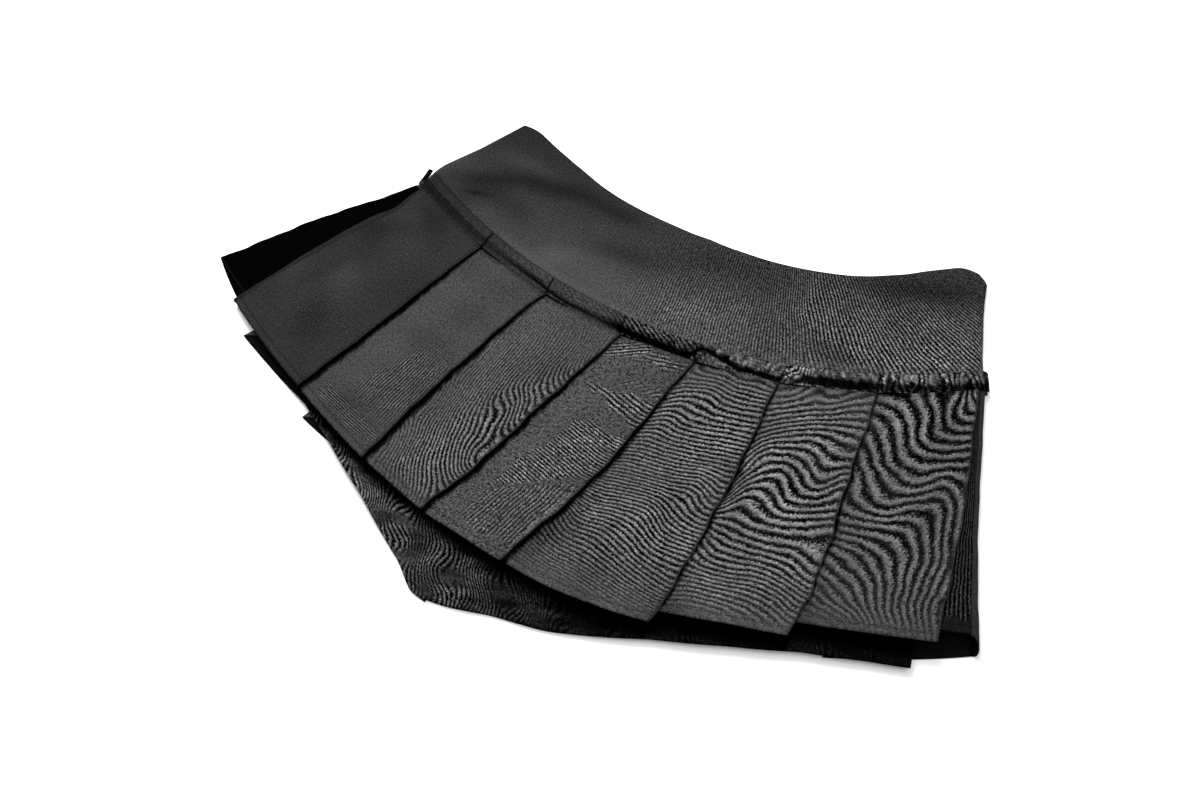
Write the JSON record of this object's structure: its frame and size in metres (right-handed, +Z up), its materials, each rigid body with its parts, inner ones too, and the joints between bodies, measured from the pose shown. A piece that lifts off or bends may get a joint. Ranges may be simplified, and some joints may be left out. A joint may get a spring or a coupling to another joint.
{
  "type": "pleated mini skort",
  "caption": "Pleated mini skort lying flat, front side up: a wide curved yoke, a narrow joining band, overlapping knife pleats and shorts between the skirt layers.",
  "frame": {"origin": "middle of the bounding box, on the surface the skort lies on", "axes": "+X to the right of the front side seen from above, +Y from the hem to the waist, +Z up out of the front"},
  "size_m": [0.5947, 0.3913, 0.0169],
  "materials": {
    "skirt_twill": "soft black twill with a slight sheen",
    "shorts_twill": "matt black twill"
  },
  "bodies": {
    "root": {"yoke_front": "skirt_twill", "yoke_back": "skirt_twill", "band_front": "skirt_twill", "band_back": "skirt_twill", "tape_tab": "skirt_twill", "pleats_front": "skirt_twill", "pleats_back": "skirt_twill", "shorts_front_left": "shorts_twill", "shorts_front_right": "shorts_twill", "shorts_back_left": "shorts_twill", "shorts_back_right": "shorts_twill"}
  },
  "joints": []
}
